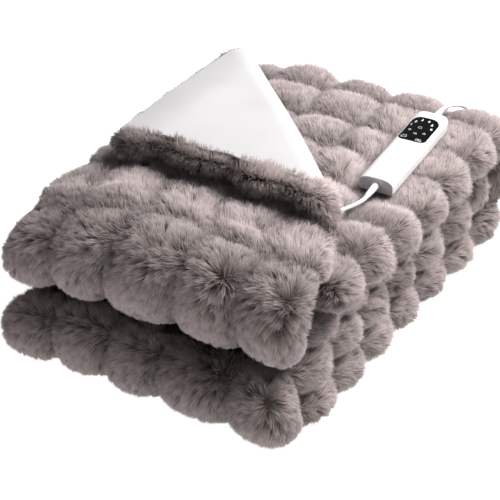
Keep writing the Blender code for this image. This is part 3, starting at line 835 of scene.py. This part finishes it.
def gridWays(grid, flip):
    # unit vectors across, along and out of the surface, its area round each point and the grid's steps
    along, across = np.gradient(grid, axis=(0, 1))
    out = np.cross(across, along) * flip
    area = np.linalg.norm(out, axis=2)
    out = unit(out)
    combed = out * (1 - pile["combed"]) + blurred(out, pile["combSteps"]) * pile["combed"]
    steps = np.stack([np.linalg.norm(way, axis=2) for way in (along, across)], axis=2)
    return {"point": grid, "across": unit(across), "along": unit(along), "out": out, "combed": combed,
            "area": area, "steps": np.maximum(steps, pile["leastStep"])}


def puffTables():
    # each grid point's place on its puff, the swirl there and how high on the puff it is
    table = np.zeros((len(rows), len(columns), 5))
    for i, row in enumerate(rows):
        for j, x in enumerate(columns):
            a, b, _ = puffPlace(x / throw["puff"] + 0.5, row[3])
            spot = x / pile["swirlSize"], row[3] * throw["puff"] / pile["swirlSize"]
            swirl = [noise.noise(Vector((*spot, level))) for level in pile["swirlLevels"]]
            table[i, j] = a, b, *swirl, math.sqrt(max(0.0, 1 - a * a) * max(0.0, 1 - b * b))
    return table


def exposure():
    # how thickly hairs stand on each grid point, on the pile's side and on the back,
    # how near it is to the lining's front edge, and whether it is on the turned corner
    front, back, near, flap = (np.zeros((len(rows), len(columns))) for _ in range(4))
    across = np.array(columns)
    fromRim = halfFold - throw["inset"] - np.abs(across)
    byRim = risingArray(fromRim, *rooted["rim"])
    for i, (kind, run, share, _) in enumerate(rows):
        name, start, end, _ = runs[run]
        y = mix(start, end, share)
        front[i] = byRim
        back[i] = risingArray(fromRim, *rooted["backRim"])
        if kind == "bend" and run in openBends:
            front[i] = 1.0
        if kind == "run" and name == "fourth":
            front[i] = np.maximum(byRim, risingArray(across + y, *rooted["underCorner"]))
        if kind == "run" and name == "top":
            past = np.array([drawnIn(x, y) for x in columns]) + y
            flap[i] = past > rooted["onFlap"]
            isFlat = past < rooted["turned"]
            unturned = np.clip(1 - past / math.sqrt(2) / (math.pi * corner["radius"]), 0, 1)
            fromEdge = across - (liningColumn(y) - lining["drawnBack"] * unturned)
            fromSides = lining["sideInset"] + np.maximum(-halfFold - across, y - topEnd)
            bySides = risingArray(fromSides, *rooted["bySides"])
            bare = np.maximum(risingArray(fromEdge, *rooted["byEdge"]), bySides)
            inRow = np.clip(1 - fromEdge / rooted["row"], 0, 1) * (fromEdge > -rooted["under"])
            near[i] = np.where(isFlat, 0.0, inRow)
            back[i] = np.where(isFlat, back[i], bare) * (1 + rooted["thicker"] * near[i])
            byEnd = risingArray(topEnd - throw["inset"] - y, *rooted["rim"])
            front[i] = np.where(isFlat, 1.0, np.maximum(byRim, byEnd))
    return front, back, near, flap


pileSide = gridWays(pileGrid, 1)
backSide = gridWays(backGrid, -1)
puffTable = puffTables()
pileShare, backShare, nearLining, onFlap = exposure()


def readGrid(table, place):
    # bilinear reading of a table at fractional rows and columns
    low = np.clip(np.floor(place).astype(int), 0, np.array(table.shape[:2]) - 2)
    part = np.clip(place - low, 0, 1)
    a, b = part[:, :1], part[:, 1:]
    i, j = low[:, 0], low[:, 1]
    return (table[i, j] * (1 - a) * (1 - b) + table[i + 1, j] * a * (1 - b)
            + table[i, j + 1] * (1 - a) * b + table[i + 1, j + 1] * a * b)


def readSides(what, place, onBack):
    return np.where(onBack[:, None], readGrid(backSide[what], place), readGrid(pileSide[what], place))


def pickPlaces(count):
    # places on the grid, in rows and columns, picked by the area round them
    weights = [(pileSide["area"] * pileShare).ravel(), (backSide["area"] * backShare).ravel()]
    steps = np.cumsum(np.concatenate(weights))
    picks = np.searchsorted(steps / steps[-1], dice.random(count))
    onBack = picks >= pileShare.size
    picks = np.where(onBack, picks - pileShare.size, picks)
    return np.stack(np.divmod(picks, len(columns)), axis=1) + dice.random((count, 2)) - 0.5, onBack


def growLocks(count):
    # how each lock stands and what is known of its place
    place, onBack = pickPlaces(count)
    nearest = tuple(np.clip(np.rint(place), 0, np.array(pileShare.shape) - 1).astype(int).T)
    root = readSides("point", place, onBack)
    across, along, out = (unit(readSides(way, place, onBack)) for way in ("across", "along", "combed"))
    puffX, puffY, swirlX, swirlY, risen = (column[:, None] for column in puffTable[nearest].T)
    flap = onFlap[nearest][:, None]
    near = nearLining[nearest][:, None]
    flat, steep = pile["frontFrom"]
    onFront = easeArray(flat - steep * out[:, 1:2]) * (1 - flap)
    way = mix(pile["stroked"], pile["strokedOnFlap"], flap)
    stroke = way - out * np.sum(out * way, axis=1, keepdims=True)
    lean = stroke * mix(pile["lay"], pile["layOnFront"], onFront)
    lean += (across * puffX + along * puffY) * pile["splay"]
    lean += (across * swirlX + along * swirlY) * (pile["swirl"] * (1 - pile["calmerOnFlap"] * flap))
    lean += unit(dice.normal(size=(count, 3))) * pile["wild"]
    lean -= (across * pile["overLining"] + stroke * pile["unstroked"]) * near
    length = pile["length"] * (1 - pile["shorter"] * dice.random((count, 1)))
    length *= mix(*pile["puffed"], risen)
    buried = np.array(lead["route"][lead["buriedFrom"]:])
    fromLead = np.linalg.norm(root[:, None] - buried[None], axis=2).min(axis=1, keepdims=True)
    length *= 1 + pile["leadLonger"] * easeArray(1 - fromLead / pile["leadHidden"])
    upright = mix(pile["upright"], pile["uprightOnFlap"], flap)
    upright += (pile["uprightOnFront"] - pile["upright"]) * onFront
    tip = root + unit(out * upright + lean) * length
    return {"place": place, "onBack": onBack, "steps": pileSide["steps"][nearest], "lean": lean,
            "upright": upright, "length": length, "tip": tip, "onFront": onFront, "flap": flap,
            "near": near, "risen": risen}


def growHairs(count):
    # roots each lock's hairs round its place and draws their tips towards its own
    lock = {name: np.repeat(values, pile["lock"], axis=0) for name, values in growLocks(count).items()}
    hairs = count * pile["lock"]
    turn = dice.random(hairs) * math.tau
    reach = pile["spread"] * np.sqrt(dice.random(hairs))
    place = lock["place"] + np.stack([reach * np.sin(turn), reach * np.cos(turn)], axis=1) / lock["steps"]
    root = readSides("point", place, lock["onBack"])
    out, combed = (unit(readSides(way, place, lock["onBack"])) for way in ("out", "combed"))
    lean = lock["lean"] + dice.normal(size=(hairs, 3)) * pile["stray"]
    length = lock["length"] * (1 - pile["shorterHairs"] * dice.random((hairs, 1)))
    tip = root + unit(combed * lock["upright"] + lean) * length
    tip += (lock["tip"] - tip) * mix(*pile["gather"], lock["onFront"]) * dice.random((hairs, 1)) ** 0.5
    way = unit(tip - root)
    flat = unit(np.cross(way, out) + dice.normal(size=(hairs, 3)) * pile["tumbled"])
    flat = unit(flat - way * np.sum(flat * way, axis=1, keepdims=True))
    facing = np.cross(flat, way)
    turned = np.sign(np.sum(facing * out, axis=1, keepdims=True))
    least, more = pile["widths"]
    half = flat * turned * pile["width"] * (least + more * dice.random((hairs, 1))) / 2
    corners = np.stack([root - half, root + half, tip], axis=1)
    corners[:, :, 2] = np.maximum(corners[:, :, 2], pile["lowest"])
    soft = mix(pile["soft"], pile["softOnFlap"], lock["flap"]) - pile["harderOnFront"] * lock["onFront"]
    shaded = unit(out * soft + facing * turned * (1 - soft))
    shade = 0.5 + pile["lockShade"] * np.repeat(dice.normal(size=count), pile["lock"])
    shade += pile["hairShade"] * dice.normal(size=hairs)
    # painted shade between the puffs and painted light on their tops, then painted light on the turned
    # corner
    shade += pile["paintedPuffShade"] * (lock["risen"][:, 0] - 0.5) + pile["paintedLightOnFlap"] * lock["flap"][:, 0]
    # painted light along the lining's front edge
    shade += pile["paintedLightByLining"] * lock["near"][:, 0]
    return corners, np.clip(shade, *pile["shades"]), shaded


hairMap = {"half": 0.002, "root": 0.02, "tip": 0.98}  # a hair's place in the UV map


def pileMesh(name, corners, shade, shaded):
    # one narrow three-sided face for each hair
    hairs = len(corners)
    mesh = bpy.data.meshes.new(name)
    mesh.vertices.add(hairs * 3)
    mesh.vertices.foreach_set("co", corners.astype(np.float32).ravel())
    mesh.loops.add(hairs * 3)
    mesh.loops.foreach_set("vertex_index", np.arange(hairs * 3, dtype=np.int32))
    mesh.polygons.add(hairs)
    mesh.polygons.foreach_set("loop_start", np.arange(hairs, dtype=np.int32) * 3)
    mesh.update(calc_edges=True)
    mesh.shade_smooth()
    normals = mesh.attributes.new("custom_normal", "FLOAT_VECTOR", "POINT")
    normals.data.foreach_set("vector", np.repeat(shaded, 3, axis=0).astype(np.float32).ravel())
    uv = np.zeros((hairs, 3, 2), dtype=np.float32)
    uv[:, :, 0] = shade[:, None] + np.array((-hairMap["half"], hairMap["half"], 0))
    uv[:, :, 1] = (hairMap["root"], hairMap["root"], hairMap["tip"])
    mesh.uv_layers.new(name="OFBake").data.foreach_set("uv", uv.ravel())
    return mesh


def makePile():
    for number in range(pile["pieces"]):
        mesh = pileMesh(f"pile{number + 1}", *growHairs(pile["locksPerPiece"]))
        piece = linkPiece(bpy.data.objects.new(mesh.name, mesh), finishes["pile"])


makePile()
print("pile made")

# the lining on the turned corner

def topRow(y):
    share = (y - frontUpper) / (topEnd - frontUpper)
    puffs = sum(run[3] for run in runs[:-1]) + sum(bendPuffs)
    return "run", len(runs) - 1, share, puffs + runs[-1][3] * share


def liningPoint(beyond, share, extra):
    # a point this far past the line of the turn, at this share from the front edge to the far one
    reach = beyond * math.sqrt(2)
    farY = min(topEnd - lining["sideInset"], yOnLine(lining["sideInset"] - halfFold, reach))
    nearY = reach - halfFold
    for _ in range(lining["rounds"]):
        nearY = yOnLine(liningColumn(nearY), reach)
    nearY += lining["drawnBack"] * (1 - clamp(beyond / (math.pi * corner["radius"])))
    y = nearY + (farY - nearY) * share
    return stripPoint(topRow(y), undrawnX(reach - y, y), -1, -extra)


def makeLining():
    bm = bmesh.new()
    turn = math.pi * corner["radius"]
    farY = topEnd - lining["sideInset"]
    last = (drawnIn(liningColumn(farY), farY) + farY) / math.sqrt(2) - lining["tip"]
    total = lining["turnSteps"] + lining["flatSteps"]
    for vert in addGrid(bm, lining["across"], total):
        number = round((vert.co.y + 1) / 2 * total)
        share = (vert.co.x + 1) / 2
        if number <= lining["turnSteps"]:
            beyond = turn * number / lining["turnSteps"]
        else:
            beyond = turn + (last - turn) * (number - lining["turnSteps"]) / lining["flatSteps"]
        vert.co = liningPoint(beyond, share, lining["gap"] + lining["thick"])
    area = sum(face.calc_area() for face in bm.faces)
    piece = addPiece("cornerLining", bm, finishes["lining"], math.pi)
    thicken = piece.modifiers.new("thickness", "SOLIDIFY")
    thicken.thickness = lining["thick"]
    thicken.offset = 1.0
    return piece, area


cornerLining, liningArea = makeLining()
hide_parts("lining")
print("lining made:", round(liningArea, 4))

# the hand control, shaped in its own frame and then seated

shell = {
    "crownFrom": 0.0088,  # height of the side walls
    "squareness": 3.0,  # of the crown: higher is flatter on top
    "nearRound": 0.0015,
    "farRound": 0.010,  # radius in plan of the corners at the mains cord
    "farFall": 0.013,  # over this length the far end rounds down
    "farDrop": 0.45,
    "nearEdge": 0.0012,
    "across": 36,
    "along": 110,
    # height and inset of the rings down the wall, with the parting line between its two halves
    "wall": ((0.0066, 0.0), (0.0064, 0.0004), (0.0060, 0.0004), (0.0058, 0.0), (0.0016, 0.0006),
             (0.0, 0.0024)),
}
display = {
    "size": (0.034, 0.057),
    "fromEnd": 0.018,
    "round": 0.010,
    "proud": 0.00018,
    "skirt": 0.0012,
    "across": 30,
    "along": 48,
}
marks = {
    "lift": 0.00030,
    "line": 0.00019,  # half the width of a drawn line
    "wave": 0.00035,  # depth of a wavy line
    "digitSize": 0.0058,
    "bolder": 0.00008,
    # digit: place across and along
    "digits": {"1": (-0.0128, 0.0455), "2": (-0.0102, 0.0532), "3": (-0.0042, 0.0585),
               "4": (0.0042, 0.0585), "5": (0.0104, 0.0528), "6": (0.0130, 0.0445)},
    "power": (0.0, 0.0415),
    "timer": (-0.0095, 0.0330),
    "warmth": (0.0, 0.0265),
    "keyLock": (0.0095, 0.0303),
    "pad": (-0.0098, 0.0160),
    "bed": (0.0092, 0.0140),
}
guard = {
    # distance from the shell, radius
    "profile": ((0.0, 0.0040), (0.0004, 0.0047), (0.0018, 0.0048), (0.0026, 0.0043), (0.0100, 0.0039),
                (0.0185, 0.0035), (0.0188, 0.0031), (0.0196, 0.0031), (0.0199, 0.0035), (0.0232, 0.0033),
                (0.0240, 0.0028)),
    "height": 0.0095,
    "around": 28,
    "clear": 0.0003,
    "weld": 0.00001,
}
seated = Matrix.Translation(handset["at"]) @ handset["tilt"].to_matrix().to_4x4()


def crownHeight(x, y):
    width, length, height = handset["size"]
    power = shell["squareness"]
    outward = clamp(abs(x) / (width / 2)) ** power
    fall = clamp(1 - (length / 2 - y) / shell["farFall"]) ** power
    crown = ((1 - outward) * (1 - shell["farDrop"] * fall)) ** (1 / power)
    edge = clamp(1 - (length / 2 + y) / shell["nearEdge"])
    rounding = shell["nearEdge"] * (1 - math.sqrt(1 - edge**2))
    return shell["crownFrom"] + (height - shell["crownFrom"]) * crown - rounding


def halfWidth(y, size, nearRound, farRound):
    # half the width of a rounded rectangle centred on the origin, at this place along it
    width, length = size[:2]
    for rounding, fromEnd in ((farRound, length / 2 - y), (nearRound, length / 2 + y)):
        if rounding > fromEnd:
            return width / 2 - rounding + math.sqrt(rounding**2 - (rounding - max(fromEnd, 0.0)) ** 2)
    return width / 2


def crowded(share):
    # -1 to 1, closer together near both ends
    return math.sin(math.pi / 2 * share)


def extrudeRim(bm):
    rim = [edge for edge in bm.edges if edge.is_boundary]
    made = bmesh.ops.extrude_edge_only(bm, edges=rim)["geom"]
    return [item for item in made if isinstance(item, bmesh.types.BMVert)]


def seatPiece(name, bm, finish, node):
    # closes the piece, sets it in place and hides the node that it stands for
    bmesh.ops.holes_fill(bm, edges=[edge for edge in bm.edges if edge.is_boundary], sides=0)
    bmesh.ops.recalc_face_normals(bm, faces=bm.faces)
    bmesh.ops.transform(bm, matrix=seated, verts=bm.verts)
    piece = addPiece(name, bm, finish)
    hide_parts(node)
    return piece


def makeShell():
    width, length, _ = handset["size"]
    bm = bmesh.new()
    for vert in addGrid(bm, shell["across"], shell["along"]):
        y = crowded(crowded(vert.co.y)) * length / 2
        x = crowded(vert.co.x) * halfWidth(y, handset["size"], shell["nearRound"], shell["farRound"])
        vert.co = (x, y, crownHeight(x, y))
    before = 0.0
    for height, inset in shell["wall"]:
        for vert in extrudeRim(bm):
            vert.co.x *= (width / 2 - inset) / (width / 2 - before)
            vert.co.y *= (length / 2 - inset) / (length / 2 - before)
            vert.co.z = height
        before = inset
    seatPiece("controlShell", bm, finishes["shell"], "handset")


def makeDisplay():
    length = display["size"][1]
    middle = handset["size"][1] / 2 - display["fromEnd"] - length / 2
    bm = bmesh.new()
    for vert in addGrid(bm, display["across"], display["along"]):
        y = crowded(vert.co.y) * length / 2
        x = crowded(vert.co.x) * halfWidth(y, display["size"], display["round"], display["round"])
        vert.co = (x, y + middle, crownHeight(x, y + middle) + display["proud"])
    for vert in extrudeRim(bm):
        vert.co.z -= display["skirt"]
    seatPiece("controlDisplay", bm, finishes["display"], "display")


def onDisplay(x, y):
    return seated @ Vector((x, y, crownHeight(x, y) + marks["lift"]))


def arc(radius, start, end, steps=14):
    angles = [math.radians(start + (end - start) * k / steps) for k in range(steps + 1)]
    return [(radius * math.cos(angle), radius * math.sin(angle)) for angle in angles]


def wave(x, low, high, steps=8):
    # an upright wavy line
    shares = [k / steps for k in range(steps + 1)]
    return [(x + marks["wave"] * math.sin(math.tau * share), mix(low, high, share)) for share in shares]


def roundedBox(width, height, rounding):
    points = []
    for k, (signX, signY) in enumerate(((1, 1), (-1, 1), (-1, -1), (1, -1))):
        for x, y in arc(rounding, 90 * k, 90 * k + 90, 4):
            points.append((x + signX * (width / 2 - rounding), y + signY * (height / 2 - rounding)))
    return points + points[:1]


def drawnMarks():
    # each mark's place and the lines that it is drawn with
    yield marks["power"], [arc(0.0021, 125, 415), [(0.0, 0.0009), (0.0, 0.0030)]]
    yield marks["timer"], [arc(0.0016, 0, 360), [(0.0, 0.0010), (0.0, 0.0), (0.0008, 0.0)]]
    yield marks["warmth"], [wave(x, -0.0015, 0.0015) for x in (-0.0014, 0.0, 0.0014)]
    shackle = arc(0.0009, 0, 180, 8)
    yield marks["keyLock"], [roundedBox(0.0028, 0.0020, 0.0004), [(x, y + 0.0011) for x, y in shackle]]
    heat = [wave(x, 0.0024, 0.0044) for x in (-0.0015, 0.0015)]
    yield marks["pad"], [roundedBox(0.0066, 0.0036, 0.0009), *heat]
    across = [(-0.0033, 0.0), (0.0033, 0.0)]
    yield marks["bed"], [roundedBox(0.0066, 0.0042, 0.0014), across, arc(0.0008, 0, 360, 10)]


def makeMarks():
    curve = newLines("displayLines", marks["line"], 1)
    for (middleX, middleY), lines in drawnMarks():
        for line in lines:
            addLine(curve, [onDisplay(middleX + x, middleY + y) for x, y in line])
    linkPiece(bpy.data.objects.new("displayLines", curve), finishes["symbol"])
    bm = bmesh.new()
    for digit, (middleX, middleY) in marks["digits"].items():
        letter = bpy.data.curves.new("digit", "FONT")
        letter.body = digit
        letter.size = marks["digitSize"]
        letter.align_x = "CENTER"
        letter.align_y = "CENTER"
        letter.offset = marks["bolder"]
        flat = bpy.data.meshes.new_from_object(bpy.data.objects.new("digit", letter))
        for vert in flat.vertices:
            vert.co = onDisplay(middleX + vert.co.x, middleY + vert.co.y)
        bm.from_mesh(flat)
    addPiece("displayDigits", bm, finishes["symbol"])


def makeGuard(name, node, end):
    # end is 1 at the mains cord and -1 at the lead
    bm = bmesh.new()
    start = handset["size"][1] / 2 + guard["clear"]
    outline = [(radius, end * (start + along), guard["height"]) for along, radius in guard["profile"]]
    verts = [bm.verts.new(point) for point in outline]
    edges = [bm.edges.new(pair) for pair in zip(verts, verts[1:])]
    bmesh.ops.spin(bm, geom=verts + edges, cent=(0, 0, guard["height"]), axis=(0, 1, 0), angle=math.tau,
                   steps=guard["around"], use_merge=True, use_duplicate=False)
    bmesh.ops.remove_doubles(bm, verts=bm.verts, dist=guard["weld"])
    return seatPiece(name, bm, finishes["sheath"], node)


makeShell()
makeDisplay()
makeMarks()
leadGuard = makeGuard("leadGuard", "lead_guard", -1)
mainsGuard = makeGuard("mainsGuard", "mains_guard", 1)
print("hand control made")

for node, finish in (("plug", "shell"), ("plug_pin_1", "pin"), ("plug_pin_2", "pin")):
    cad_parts[node].data.materials.clear()
    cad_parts[node].data.materials.append(finishes[finish])
